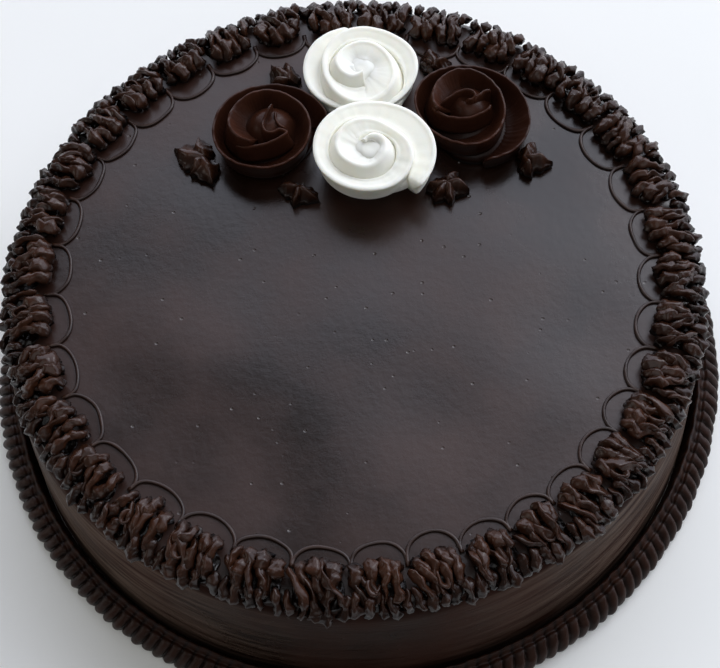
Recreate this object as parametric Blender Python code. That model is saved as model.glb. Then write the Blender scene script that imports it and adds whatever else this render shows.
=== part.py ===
"""A round glazed chocolate cake: a piped ruffle border on its shoulder, thin piped scallops on its top,
a ribbed piped border round its foot, four piped roses and six small piped leaf sprays.

Run with: blender --background --python part.py
Metres, +Z up. The origin is the centre of the foot; the roses stand towards +Y.
"""

import math
import random

import bmesh
import bpy

MM = 0.001
GAP = 0.35 * MM

# The glazed cake: a 10 inch sponge under a smooth coat, a little narrower at its top
CAKE_HEIGHT = 60.6 * MM
FOOT_RADIUS = 126.3 * MM
WALL_TOP_RADIUS = 121.5 * MM
SHOULDER = 8.0 * MM
WALL_SEGMENTS = 58
SHOULDER_STEPS = 3

# The piping round the top: one scallop of thread and one ruffle for each of these
PIPED_COUNT = 35
JUNCTION_SHIFT_DEG = 4.66
SLOW_DRIFT_DEG = 3.88
SLOW_DRIFT_PHASE_DEG = 233.6
QUICK_DRIFT_DEG = 1.98
QUICK_DRIFT_PHASE_DEG = 295.1

# The thread: a fine line of chocolate laid on the glaze in inward arcs
THREAD_WIDTH = 1.7 * MM
THREAD_HEIGHT = 1.0 * MM
THREAD_SINK = 0.5 * MM
JUNCTION_RADIUS = 105.0 * MM
SCALLOP_DEPTH = 6.6 * MM
THREAD_END_RADIUS = 106.6 * MM
THREAD_STEPS = 6
THREAD_WANDER = 0.9 * MM

# The ruffles: each a short gathered band of five ridges pressed over the shoulder
RUFFLE_RIDGES = 5
RUFFLE_INNER_RADIUS = 103.6 * MM
RUFFLE_CREST_RADIUS = 112.8 * MM
RUFFLE_CREST_HEIGHT = 7.6 * MM
RUFFLE_TIP_RADIUS = 122.6 * MM
RUFFLE_TIP_HEIGHT = 57.6 * MM
RUFFLE_SKEW = 5.4 * MM
RUFFLE_END_GAP = 0.25 * MM
RUFFLE_END_LOW = 0.5
BRIDGE_RADIUS = 118.0 * MM
FINGER_FOOT_RADIUS = 121.5 * MM
FINGER_FOOT_HEIGHT = 55.2 * MM
FLANK_RADIUS = 118.6 * MM
FLANK_RUN = 0.8 * MM
FLANK_RISE = 0.32
FLANK_THICKNESS = 0.8 * MM
LEAST_CREST_HEIGHT = 1.8 * MM
VALLEY_DEPTH = 2.9 * MM
VALLEY_SETBACK = 1.6 * MM
INNER_FACE_RUN = 0.7 * MM
INNER_FACE_RISE = 0.6
FINGER_DEPTH = 1.2 * MM
LEAST_TIP_RADIUS = 121.2 * MM
THREAD_CLEARANCE = 0.6 * MM
KNOB_SHIFT = (-0.4 * MM, 2.4 * MM)
TIP_SHIFT = 0.8 * MM
PROUD_FINGER = 1.0 * MM
END_PULL_IN = 1.8 * MM
BACK_PULL_IN = 3.2 * MM
CREST_SHARE_OF_PULL = 0.6

# The foot border: a tight rope of ribs round the base
RIB_COUNT = 192
BORDER_OUTER_RADIUS = 137.0 * MM
BORDER_INNER_RADIUS = 126.9 * MM
BORDER_HEIGHT = 11.6 * MM
RIB_DEPTH = 1.7 * MM
RIB_SLANT_DEG = 1.4
BORDER_FOOT_SETBACK = 2.0 * MM
BORDER_BELLY_HEIGHT = 3.6 * MM
BORDER_BROW_SETBACK = 3.4 * MM
BORDER_BROW_HEIGHT = 9.4 * MM
BORDER_CREST_SETBACK = 1.6 * MM

# The roses: name, centre x and y, direction of the ribbon's outer end in degrees, how far it is
# lifted, and how far the inner turns sit off the centre in x and y
ROSES = (
    ("rose_white_front", 9.3, 41.4, -48.0, 5.5, -0.2, -2.4),
    ("rose_white_back", 8.1, 80.9, 98.0, 0.0, -0.1, -2.1),
    ("rose_dark_left", -27.2, 55.3, 14.0, 0.0, 0.5, 2.7),
    ("rose_dark_right", 45.4, 57.0, -78.0, 0.0, -0.3, 4.5),
)
# The lip of each rose: its radius at each eighth of the first turn, then at each quarter turn
OUTER_LIPS = {
    "rose_white_front": (23.1, 23.3, 21.3, 20.4, 20.7, 20.3, 19.7, 18.6, 17.3),
    "rose_white_back": (21.2, 22.0, 21.3, 20.2, 19.5, 20.5, 21.2, 19.1, 18.9),
    "rose_dark_left": (23.3, 22.1, 21.0, 20.1, 19.5, 18.0, 17.1, 16.9, 15.1),
    "rose_dark_right": (19.6, 22.9, 21.7, 21.7, 22.2, 22.3, 16.4, 16.0, 18.1),
}
INNER_LIPS = {
    "rose_white_front": (11.9, 14.2, 10.1, 6.9, 6.2, 3.4),
    "rose_white_back": (13.4, 16.6, 11.7, 11.6, 9.0, 4.4),
    "rose_dark_left": (12.4, 14.6, 10.0, 6.6, 5.6, 3.2),
    "rose_dark_right": (11.9, 13.1, 12.6, 8.7, 7.0, 3.6),
}
OUTER_STEP = 0.125
INNER_STEP = 0.25
SHIFT_FROM_TURN = 0.75
SHIFT_TO_TURN = 1.25
RIBBON_TURNS = 2.5
RIBBON_STEPS_PER_TURN = 12
LIP_LOW = 9.0 * MM
LIP_HIGH = 14.0 * MM
BUD_HEIGHT = 16.8 * MM
LIP_THICKNESS = 1.0 * MM
WALL_LEAN = 2.0 * MM
INNER_WALL_LEAN = -1.6 * MM
LEAN_FROM_TURN = 1.2
LEAN_TO_TURN = 1.7
RIBBON_FOOT = 4.8 * MM
RIBBON_BOTTOM = 0.9 * MM
RIBBON_CLIMB = 2.6 * MM
SLOPE_FOOT_HEIGHT = 2.4 * MM
LIP_WAVE = 0.35 * MM
STEM_SHARE = 0.48
CORE_STEPS = 10
# The core's rings: share of the outer lip's radius, height, share of the inner turns' shift
CORE_RINGS = (
    (0.76, 2.4, 0.0),
    (0.60, 4.6, 0.5),
    (0.42, 7.0, 1.0),
    (0.29, 9.6, 1.0),
    (0.11, 15.4, 1.0),
)

# The leaf sprays: centre x and y, then each leaf's direction in degrees and its length
LEAF_SPRAYS = (
    ("leaves_left", -51.0, 49.5, ((158, 12.5), (105, 10.5), (228, 7.5), (283, 10.5))),
    ("leaves_back_left", -19.0, 82.0, ((128, 11.0), (82, 9.5), (172, 7.5))),
    ("leaves_front_left", -17.0, 34.0, ((165, 8.0), (255, 6.5), (318, 8.0))),
    ("leaves_front_right", 35.5, 32.5, ((180, 7.5), (236, 8.0), (290, 7.5), (350, 8.5), (60, 6.5))),
    ("leaves_right", 64.0, 41.0, ((-2, 10.5), (58, 8.5), (-62, 7.0))),
    ("leaves_back_right", 35.5, 84.5, ((97, 10.5), (150, 6.5), (35, 7.0))),
)
LEAF_HEIGHT = 5.6 * MM
LEAF_FLANK_DEG = 24.0
LEAF_FLANK_SHARE = 0.38
LEAF_SHOULDER = 0.66
LEAF_DIP = 0.42
LEAF_TIP_LIFT = 1.5 * MM
LEAF_SHOULDER_LIFT = 1.1 * MM


def clear_scene():
    """Remove whatever the startup scene holds."""
    for obj in list(bpy.data.objects):
        bpy.data.objects.remove(obj, do_unlink=True)


def chocolate(name, colour, roughness):
    """A plain food material: colour and roughness on a Principled BSDF, never metallic."""
    material = bpy.data.materials.new(name)
    material.use_nodes = True
    shader = material.node_tree.nodes["Principled BSDF"]
    shader.inputs["Base Color"].default_value = (*colour, 1.0)
    shader.inputs["Roughness"].default_value = roughness
    shader.inputs["Metallic"].default_value = 0.0
    material.diffuse_color = (*colour, 1.0)
    return material


def finish_object(bm, name, material, sharp_deg=50.0):
    """Turn a bmesh into a named, smooth-shaded object with sharp creases kept."""
    bmesh.ops.recalc_face_normals(bm, faces=bm.faces)
    mesh = bpy.data.meshes.new(name)
    bm.to_mesh(mesh)
    bm.free()
    mesh.materials.append(material)
    mesh.shade_smooth()
    mesh.set_sharp_from_angle(angle=math.radians(sharp_deg))
    obj = bpy.data.objects.new(name, mesh)
    bpy.context.scene.collection.objects.link(obj)
    return obj


def loft(sections, closed):
    """Skin a row of equal point rings with quads; a closed row joins its ends, an open one is capped."""
    bm = bmesh.new()
    rings = [[bm.verts.new(point) for point in section] for section in sections]
    pairs = list(zip(rings, rings[1:]))
    if closed:
        pairs.append((rings[-1], rings[0]))
    size = len(rings[0])
    for first, second in pairs:
        for i in range(size):
            j = (i + 1) % size
            bm.faces.new((first[i], first[j], second[j], second[i]))
    if not closed:
        bm.faces.new(rings[0])
        bm.faces.new(list(reversed(rings[-1])))
    return bm


def polar(radius, angle, z):
    """A point from its radius, its angle in radians and its height."""
    return (radius * math.cos(angle), radius * math.sin(angle), z)


def union_collection(target, pieces, solver="EXACT"):
    """Fuse the pieces to the target with one applied Boolean on their collection, then remove them."""
    group = bpy.data.collections.new(target.name + "_pieces")
    bpy.context.scene.collection.children.link(group)
    for piece in pieces:
        bpy.context.scene.collection.objects.unlink(piece)
        group.objects.link(piece)
    modifier = target.modifiers.new("fuse", "BOOLEAN")
    modifier.operation = "UNION"
    modifier.operand_type = "COLLECTION"
    modifier.collection = group
    modifier.solver = solver
    bpy.context.view_layer.objects.active = target
    bpy.context.view_layer.update()
    bpy.ops.object.modifier_apply(modifier=modifier.name)
    for piece in pieces:
        bpy.data.objects.remove(piece, do_unlink=True)
    bpy.data.collections.remove(group)


def junction_angles():
    """Where neighbouring scallops meet: an even spacing with two slow waves of a hand that drifts."""
    angles = []
    for k in range(1, PIPED_COUNT + 1):
        even = 2.0 * math.pi * k / PIPED_COUNT
        slow = SLOW_DRIFT_DEG * math.sin(even + math.radians(SLOW_DRIFT_PHASE_DEG))
        quick = QUICK_DRIFT_DEG * math.sin(2.0 * even + math.radians(QUICK_DRIFT_PHASE_DEG))
        angles.append(even + math.radians(JUNCTION_SHIFT_DEG + slow + quick))
    return angles


def spans(angles):
    """Each pair of neighbouring junctions, the last one closing the circle."""
    following = angles[1:] + [angles[0] + 2.0 * math.pi]
    return list(zip(angles, following))


def cake_profile():
    """Radius and height from the foot up the wall, round the shoulder and on to the flat top."""
    points = [(FOOT_RADIUS, 0.0), (WALL_TOP_RADIUS, CAKE_HEIGHT - SHOULDER)]
    for i in range(1, SHOULDER_STEPS + 1):
        turn = math.radians(90.0 * i / SHOULDER_STEPS)
        points.append(
            (
                WALL_TOP_RADIUS - SHOULDER + SHOULDER * math.cos(turn),
                CAKE_HEIGHT - SHOULDER + SHOULDER * math.sin(turn),
            )
        )
    return points


def cake_body(material):
    """The cake turned round its axis: the profile is spun and the two flat faces are filled."""
    bm = bmesh.new()
    verts = [bm.verts.new((radius, 0.0, z)) for radius, z in cake_profile()]
    edges = [bm.edges.new(pair) for pair in zip(verts, verts[1:])]
    bmesh.ops.spin(
        bm,
        geom=verts + edges,
        axis=(0, 0, 1),
        cent=(0, 0, 0),
        angle=2.0 * math.pi,
        steps=WALL_SEGMENTS,
        use_merge=True,
    )
    bmesh.ops.remove_doubles(bm, verts=bm.verts, dist=0.01 * MM)
    rims = [edge for edge in bm.edges if edge.is_boundary]
    bmesh.ops.holes_fill(bm, edges=rims, sides=0)
    return finish_object(bm, "cake_body", material, 40.0)


def thread_arc(start, end, material, index, draw):
    """One scallop: a half ellipse bulging inwards, with a ridge section sunk a little into the glaze."""
    middle = 0.5 * (start + end)
    half = 0.5 * (end - start)
    depth = SCALLOP_DEPTH + draw.uniform(-1.0, 1.0) * THREAD_WANDER
    base = JUNCTION_RADIUS + draw.uniform(-1.0, 1.0) * THREAD_WANDER
    centres = []
    for i in range(THREAD_STEPS + 1):
        turn = math.pi * i / THREAD_STEPS
        radius = base - depth * math.sin(turn)
        if i in (0, THREAD_STEPS):
            radius = THREAD_END_RADIUS
        centres.append(polar(radius, middle - half * math.cos(turn), 0.0))
    low = CAKE_HEIGHT - THREAD_SINK
    high = CAKE_HEIGHT + THREAD_HEIGHT
    sections = []
    for i, (x, y, _) in enumerate(centres):
        before = centres[max(i - 1, 0)]
        after = centres[min(i + 1, THREAD_STEPS)]
        along = (after[0] - before[0], after[1] - before[1])
        length = math.hypot(*along)
        side = (-along[1] / length * THREAD_WIDTH / 2, along[0] / length * THREAD_WIDTH / 2)
        sections.append(((x - side[0], y - side[1], low), (x + side[0], y + side[1], low), (x, y, high)))
    return finish_object(loft(sections, closed=False), f"thread_{index:02d}", material)


def thread_edge(bearing, pairs):
    """How far out the threads reach at a bearing: least behind a scallop, most where two meet."""
    reach = THREAD_END_RADIUS + THREAD_WIDTH / 2 + THREAD_CLEARANCE
    for start, end in pairs:
        share = ((bearing - start) % (2.0 * math.pi)) / (end - start)
        if share <= 1.0:
            bulge = 2.0 * math.sqrt(share * (1.0 - share))
            return reach - (SCALLOP_DEPTH - THREAD_WANDER) * bulge
    return reach


def pull_in(bearing):
    """How far the ruffles are drawn in at a bearing: most at the back left and the back right."""
    if math.sin(bearing) < 0.0:
        return 0.0
    return BACK_PULL_IN * (0.5 - 0.5 * math.cos(4.0 * bearing))


def ruffle_section(bearing, pairs, ridge, envelope, knob, tip_out):
    """One closed ring of a ruffle: three points laid on the shoulder, then four over the gathers.

    ridge is 1 on a ridge and 0 in a valley; envelope lowers the ends; knob and tip_out shift the
    inner and outer end of a ridge; the whole ring leans a little round the cake."""

    def bearing_at(radius):
        lean = (radius - RUFFLE_CREST_RADIUS) / (RUFFLE_TIP_RADIUS - RUFFLE_INNER_RADIUS)
        return bearing + RUFFLE_SKEW * lean / RUFFLE_CREST_RADIUS

    valley = 1.0 - ridge
    drawn = pull_in(bearing)
    crest = max(RUFFLE_CREST_HEIGHT * envelope - valley * VALLEY_DEPTH, LEAST_CREST_HEIGHT)
    flank = FLANK_RADIUS + (FLANK_RUN - drawn * CREST_SHARE_OF_PULL) * ridge
    clear_of_thread = thread_edge(bearing_at(JUNCTION_RADIUS), pairs)
    inner = max(RUFFLE_INNER_RADIUS + knob + valley * VALLEY_SETBACK, clear_of_thread)
    tip = max(RUFFLE_TIP_RADIUS + tip_out - valley * FINGER_DEPTH - drawn, LEAST_TIP_RADIUS)
    points = (
        (inner, CAKE_HEIGHT + GAP),
        (BRIDGE_RADIUS, CAKE_HEIGHT + GAP),
        (FINGER_FOOT_RADIUS, FINGER_FOOT_HEIGHT),
        (tip, RUFFLE_TIP_HEIGHT),
        (flank, CAKE_HEIGHT + FLANK_RISE * crest + FLANK_THICKNESS),
        (RUFFLE_CREST_RADIUS - drawn * CREST_SHARE_OF_PULL, CAKE_HEIGHT + crest),
        (inner + INNER_FACE_RUN, CAKE_HEIGHT + INNER_FACE_RISE * crest),
    )
    return [polar(radius, bearing_at(radius), z) for radius, z in points]


def ruffle(name, start, end, pairs, material, draw):
    """A ruffle between two junctions: ridges and valleys in turn, all running a little askew."""
    margin = RUFFLE_END_GAP / RUFFLE_CREST_RADIUS
    stations = 2 * RUFFLE_RIDGES + 1
    proud = draw.randrange(RUFFLE_RIDGES)
    sections = []
    for i in range(stations):
        share = i / (stations - 1)
        across = abs(2.0 * share - 1.0)
        envelope = RUFFLE_END_LOW + (1.0 - RUFFLE_END_LOW) * math.sqrt(1.0 - across**3)
        envelope *= draw.uniform(0.93, 1.06)
        on_ridge = i % 2
        ridge = on_ridge * draw.uniform(0.8, 1.0)
        knob = draw.uniform(*KNOB_SHIFT) * on_ridge + END_PULL_IN * across**4
        tip_out = draw.uniform(-TIP_SHIFT, TIP_SHIFT) * on_ridge
        if i == 2 * proud + 1:
            tip_out += PROUD_FINGER
        bearing = start + margin + (end - start - 2.0 * margin) * share
        sections.append(ruffle_section(bearing, pairs, ridge, envelope, knob, tip_out))
    return finish_object(loft(sections, closed=False), name, material, 60.0)


def foot_border(material):
    """The ribbed rope round the foot: peaks and valleys in turn, every rib slanting up and inwards."""
    slant = math.radians(RIB_SLANT_DEG)
    sections = []
    for i in range(2 * RIB_COUNT):
        angle = 2.0 * math.pi * i / (2 * RIB_COUNT)
        cut = RIB_DEPTH * (i % 2)
        brow = BORDER_OUTER_RADIUS - BORDER_BROW_SETBACK - 0.8 * cut
        sections.append(
            (
                polar(BORDER_INNER_RADIUS, angle, 0.0),
                polar(BORDER_OUTER_RADIUS - BORDER_FOOT_SETBACK - 0.6 * cut, angle, 0.0),
                polar(BORDER_OUTER_RADIUS - cut, angle, BORDER_BELLY_HEIGHT),
                polar(brow, angle + 0.6 * slant, BORDER_BROW_HEIGHT - 0.6 * cut),
                polar(BORDER_INNER_RADIUS + BORDER_CREST_SETBACK, angle + slant, BORDER_HEIGHT),
            )
        )
    return finish_object(loft(sections, closed=True), "foot_border", material, 60.0)


def lip_radius(turns, outer, inner):
    """Radius of the ribbon's lip after so many turns, between the named radii; none past its end."""
    if turns > RIBBON_TURNS:
        return 0.0
    if turns < 1.0:
        place = turns / OUTER_STEP
        radii = outer
    else:
        place = (turns - 1.0) / INNER_STEP
        radii = outer[-1:] + inner
    k = min(int(place), len(radii) - 2)
    return (radii[k] + (radii[k + 1] - radii[k]) * (place - k)) * MM


def lip_height(turns):
    """Height of the ribbon's lip: the outer petal lies low, the inner rings stand up to the bud."""
    rise = min(turns / 1.2, 1.0)
    return LIP_LOW + (LIP_HIGH - LIP_LOW) * rise + (BUD_HEIGHT - LIP_HIGH) * max(0.0, (turns - 1.2) / 1.3)


def ramp(value, start, end):
    """0 before the start, 1 after the end and even in between."""
    return min(max((value - start) / (end - start), 0.0), 1.0)


def wall_lean(turns):
    """How far the ribbon's wall leans: the outer turns open outwards, the inner ones close inwards."""
    return WALL_LEAN + (INNER_WALL_LEAN - WALL_LEAN) * ramp(turns, LEAN_FROM_TURN, LEAN_TO_TURN)


def rose_ribbon(name, outer, inner, start_deg, lift, shift, material):
    """The petal ribbon: an outer face, a thin lip and a long inner slope, wound in a spiral."""
    steps = round(RIBBON_TURNS * RIBBON_STEPS_PER_TURN)
    sections = []
    for i in range(steps + 1):
        turns = RIBBON_TURNS * i / steps
        angle = math.radians(start_deg) + 2.0 * math.pi * turns
        off = ramp(turns, SHIFT_FROM_TURN, SHIFT_TO_TURN)
        off_next = ramp(turns + 1.0, SHIFT_FROM_TURN, SHIFT_TO_TURN)
        sideways = shift[0] * math.cos(angle) + shift[1] * math.sin(angle)
        lip = lip_radius(turns, outer, inner)
        room = lip - lip_radius(turns + 1.0, outer, inner) - (off_next - off) * sideways
        room += min(wall_lean(turns + 1.0), 0.0)
        top = lip_height(turns) + LIP_WAVE * math.sin(3.3 * angle)
        low = RIBBON_BOTTOM + RIBBON_CLIMB * turns
        foot = min(RIBBON_FOOT, 0.8 * room, 0.75 * lip)
        section = (
            polar(lip - min(wall_lean(turns), 0.4 * lip), angle, lift + low),
            polar(lip, angle, lift + top),
            polar(lip - min(LIP_THICKNESS, 0.35 * lip), angle, lift + top),
            polar(lip - foot, angle, lift + low + SLOPE_FOOT_HEIGHT),
            polar(lip - foot, angle, lift + low),
        )
        sections.append([(x + off * shift[0], y + off * shift[1], z) for x, y, z in section])
    return finish_object(loft(sections, closed=False), name + "_ribbon", material, 40.0)


def rose_core(name, outer, inner, start_deg, lift, shift, material):
    """What the ribbon is wound on: a squat cup that follows the outer lip, with a bud in its middle."""
    rings = [(STEM_SHARE if lift > 0.0 else CORE_RINGS[0][0], 0.0, 0.0)]
    if lift > 0.0:
        rings.append((STEM_SHARE, lift, 0.0))
    rings.extend((share, lift + height * MM, off) for share, height, off in CORE_RINGS)
    sections = []
    for share, height, off in rings:
        section = []
        for i in range(CORE_STEPS):
            turns = i / CORE_STEPS
            angle = math.radians(start_deg) + 2.0 * math.pi * turns
            x, y, z = polar(share * lip_radius(turns, outer, inner), angle, height)
            section.append((x + off * shift[0], y + off * shift[1], z))
        sections.append(section)
    return finish_object(loft(sections, closed=False), name, material, 40.0)


def rose(name, x, y, start_deg, lift, shift, material):
    """A piped rose: its ribbon fused to its core, set on the glaze."""
    form = (OUTER_LIPS[name], INNER_LIPS[name], start_deg, lift, shift, material)
    core = rose_core(name, *form)
    ribbon = rose_ribbon(name, *form)
    union_collection(core, [ribbon], solver="MANIFOLD")
    core.location = (x, y, CAKE_HEIGHT + GAP)
    return core


def leaf_spray(name, x, y, leaves, material):
    """Pointed leaves pressed out from one spot: each has a tip and two flanks, with a dip between leaves."""
    tips = sorted((math.radians(direction) % (2.0 * math.pi), length * MM) for direction, length in leaves)
    widest = math.radians(LEAF_FLANK_DEG)
    outline = []
    for i, (angle, length) in enumerate(tips):
        following, next_length = tips[(i + 1) % len(tips)]
        room_before = (angle - tips[i - 1][0]) % (2.0 * math.pi)
        room_after = (following - angle) % (2.0 * math.pi)
        flank_before = min(widest, LEAF_FLANK_SHARE * room_before)
        flank_after = min(widest, LEAF_FLANK_SHARE * room_after)
        outline.append((angle - flank_before, LEAF_SHOULDER * length, LEAF_SHOULDER_LIFT, 0.75))
        outline.append((angle, length, LEAF_TIP_LIFT, 0.5))
        outline.append((angle + flank_after, LEAF_SHOULDER * length, LEAF_SHOULDER_LIFT, 0.75))
        outline.append((angle + 0.5 * room_after, LEAF_DIP * min(length, next_length), 0.0, 0.35))
    bm = bmesh.new()
    hub_low = bm.verts.new((0.0, 0.0, 0.0))
    hub_high = bm.verts.new((0.0, 0.0, 0.5 * LEAF_HEIGHT))
    low, high, ridge = [], [], []
    for angle, length, under, lift in outline:
        low.append(bm.verts.new(polar(length, angle, under)))
        high.append(bm.verts.new(polar(length * 0.96, angle, under + LEAF_HEIGHT * lift * 0.5)))
        ridge.append(bm.verts.new(polar(0.5 * length, angle, LEAF_HEIGHT * (0.55 + 0.55 * lift))))
    count = len(outline)
    for i in range(count):
        j = (i + 1) % count
        bm.faces.new((hub_low, low[j], low[i]))
        bm.faces.new((low[i], low[j], high[j], high[i]))
        bm.faces.new((high[i], high[j], ridge[j], ridge[i]))
        bm.faces.new((ridge[i], ridge[j], hub_high))
    spray = finish_object(bm, name, material, 45.0)
    spray.location = (x * MM, y * MM, CAKE_HEIGHT + GAP)
    return spray


def main():
    clear_scene()
    glaze = chocolate("glaze", (0.060, 0.042, 0.038), 0.42)
    piping = chocolate("dark_piping", (0.075, 0.036, 0.026), 0.38)
    dark_petal = chocolate("dark_petal", (0.095, 0.035, 0.022), 0.35)
    white_petal = chocolate("white_petal", (0.83, 0.82, 0.76), 0.55)

    pairs = spans(junction_angles())
    body = cake_body(glaze)
    draw = random.Random(7)
    threads = [thread_arc(start, end, glaze, k, draw) for k, (start, end) in enumerate(pairs)]
    union_collection(body, threads)

    draw = random.Random(19)
    for k, (start, end) in enumerate(pairs):
        ruffle(f"ruffle_{k + 1:02d}", start, end, pairs, piping, draw)
    foot_border(piping)

    for name, x, y, start_deg, lift, shift_x, shift_y in ROSES:
        petal = white_petal if "white" in name else dark_petal
        rose(name, x * MM, y * MM, start_deg, lift * MM, (shift_x * MM, shift_y * MM), petal)
    for name, x, y, leaves in LEAF_SPRAYS:
        leaf_spray(name, x, y, leaves, piping)


main()
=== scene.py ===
"""Looks of the round glazed chocolate cake with piped borders, four roses and leaf sprays.

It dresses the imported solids. Lengths are in metres where not called millimetres, +Y points to the roses.
"""

import math
import random

import bpy
import numpy as np
from mathutils import Matrix


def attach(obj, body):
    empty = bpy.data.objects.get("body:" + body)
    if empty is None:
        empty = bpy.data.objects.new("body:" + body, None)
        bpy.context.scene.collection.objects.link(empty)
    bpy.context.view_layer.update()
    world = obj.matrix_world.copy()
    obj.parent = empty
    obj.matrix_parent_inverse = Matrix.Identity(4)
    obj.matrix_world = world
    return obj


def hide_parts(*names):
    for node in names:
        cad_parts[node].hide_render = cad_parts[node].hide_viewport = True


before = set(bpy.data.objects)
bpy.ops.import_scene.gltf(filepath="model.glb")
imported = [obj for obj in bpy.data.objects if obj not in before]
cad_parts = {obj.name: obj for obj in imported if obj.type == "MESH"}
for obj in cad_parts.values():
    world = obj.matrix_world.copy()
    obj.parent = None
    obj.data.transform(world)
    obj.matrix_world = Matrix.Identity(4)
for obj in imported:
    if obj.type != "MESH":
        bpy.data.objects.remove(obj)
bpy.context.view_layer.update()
MM = 0.001

# The camera: held above the front edge and looking steeply down at the cake,
# turned a few degrees about its own axis.
CAMERA_PLACE = (0.0, -0.2347, 0.4652)
CAMERA_PITCH_DEG = 62.45
CAMERA_YAW_DEG = 0.404
CAMERA_ROLL_RAD = -0.0556616
CAMERA_LENS_MM = 67.5
CAMERA_SENSOR_MM = 36.0
CAMERA_NEAREST = 10 * MM

pitch = math.radians(CAMERA_PITCH_DEG)
yaw = math.radians(CAMERA_YAW_DEG)
forward = np.array([math.sin(yaw) * math.cos(pitch), math.cos(yaw) * math.cos(pitch), -math.sin(pitch)])
level = np.cross(forward, [0.0, 0.0, 1.0])
level /= np.linalg.norm(level)
upright = np.cross(level, forward)
right = math.cos(CAMERA_ROLL_RAD) * level + math.sin(CAMERA_ROLL_RAD) * upright
up = -math.sin(CAMERA_ROLL_RAD) * level + math.cos(CAMERA_ROLL_RAD) * upright
camera = bpy.data.objects.new("camera", bpy.data.cameras.new("camera"))
bpy.context.scene.collection.objects.link(camera)
turn = Matrix([[*row] for row in np.array([right, up, -forward]).T])
camera.matrix_world = Matrix.Translation(CAMERA_PLACE) @ turn.to_4x4()
camera.data.lens = CAMERA_LENS_MM
camera.data.sensor_width = CAMERA_SENSOR_MM
camera.data.clip_start = CAMERA_NEAREST
bpy.context.scene.camera = camera

# The floor and the light: a plain pale table in a room that is dim in front of the cake and bright
# behind it and to its right, which the glaze mirrors. One soft panel shines from the back right, a
# wide one from over the front edge and a weak one from the left.
FLOOR_SIZE = 6.0
FLOOR_DROP = 0.2 * MM
FLOOR_TINTS = ((0.92, 0.92, 0.88, 1.0), (0.95, 0.95, 0.91, 1.0))
ROOM_BRIGHT = (0.92, 0.96, 1.11)
ROOM_DIM = (0.96, 0.97, 1.0)
ROOM_STRENGTH = (0.14, 2.10)
ROOM_BRIGHT_SIDE = (0.5, 0.866, 0.0)
ROOM_GRADE = (0.28, 0.46)

bpy.context.scene.view_settings.view_transform = "Standard"


def node_material(name):
    """A new node material: (material, its node tree, its Principled shader)."""
    material = bpy.data.materials.new(name)
    material.use_nodes = True
    return material, material.node_tree, material.node_tree.nodes["Principled BSDF"]


def plug(tree, socket, value):
    """Sets an input socket to a plain value or links it to the output socket given."""
    if isinstance(value, bpy.types.NodeSocket):
        tree.links.new(value, socket)
    else:
        socket.default_value = value


def add_node(tree, kind, **values):
    """A shader node with its plain properties and its input sockets set or linked by name."""
    node = tree.nodes.new("ShaderNode" + kind)
    for key, value in values.items():
        if hasattr(node, key):
            setattr(node, key, value)
        else:
            plug(tree, node.inputs[key.replace("_", " ")], value)
    return node


def noise(tree, place, scale, detail, roughness=0.5):
    """A soft noise between 0 and 1 at each place."""
    texture = add_node(tree, "TexNoise", Vector=place, Scale=scale, Detail=detail, Roughness=roughness)
    return texture.outputs["Fac"]


def spread(tree, value, low, high, to_low=0.0, to_high=1.0):
    """The value with its range from low to high stretched evenly to the second range and cut there."""
    scaled = add_node(tree, "MapRange", Value=value, From_Min=low, From_Max=high)
    plug(tree, scaled.inputs["To Min"], to_low)
    plug(tree, scaled.inputs["To Max"], to_high)
    return scaled.outputs["Result"]


def product(tree, first, second):
    """Two values multiplied."""
    multiplied = add_node(tree, "Math", operation="MULTIPLY")
    plug(tree, multiplied.inputs[0], first)
    plug(tree, multiplied.inputs[1], second)
    return multiplied.outputs["Value"]


def blend(tree, share, first, second):
    """Two colours mixed: the first where the share is 0, the second where it is 1."""
    mixed = add_node(tree, "Mix", data_type="RGBA")
    for number, value in ((0, share), (6, first), (7, second)):
        plug(tree, mixed.inputs[number], value)
    return mixed.outputs[2]


def bumped(tree, height, strength, distance, **more):
    """The surface's normal tilted as though the height stood on it, over another Normal if given."""
    bump = add_node(tree, "Bump", Height=height, Strength=strength, Distance=distance, **more)
    return bump.outputs["Normal"]


def area_light(name, place, target, size, power, colour):
    """A square soft light at a place, turned to face a target."""
    data = bpy.data.lights.new(name, "AREA")
    data.shape = "SQUARE"
    data.size = size
    data.energy = power
    data.color = colour
    light = bpy.data.objects.new(name, data)
    bpy.context.scene.collection.objects.link(light)
    aim = np.array(target, float) - np.array(place, float)
    aim /= np.linalg.norm(aim)
    side = np.cross(aim, [0.0, 1.0, 0.02])
    side /= np.linalg.norm(side)
    turned = Matrix([[*row] for row in np.array([side, np.cross(side, aim), -aim]).T])
    light.matrix_world = Matrix.Translation(place) @ turned.to_4x4()


floor_mesh = bpy.data.meshes.new("floor")
half = FLOOR_SIZE / 2
corners = [(x, y, -FLOOR_DROP) for x, y in ((-half, -half), (half, -half), (half, half), (-half, half))]
floor_mesh.from_pydata(corners, [], [(0, 1, 2, 3)])
floor = bpy.data.objects.new("floor", floor_mesh)
bpy.context.scene.collection.objects.link(floor)
floor_material, tree, shader = node_material("pale_table")
place = add_node(tree, "TexCoord").outputs["Object"]
mottle = noise(tree, place, scale=9.0, detail=4.0)
plug(tree, shader.inputs["Base Color"], blend(tree, mottle, *FLOOR_TINTS))
shader.inputs["Roughness"].default_value = 0.6
floor_mesh.materials.append(floor_material)

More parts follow.
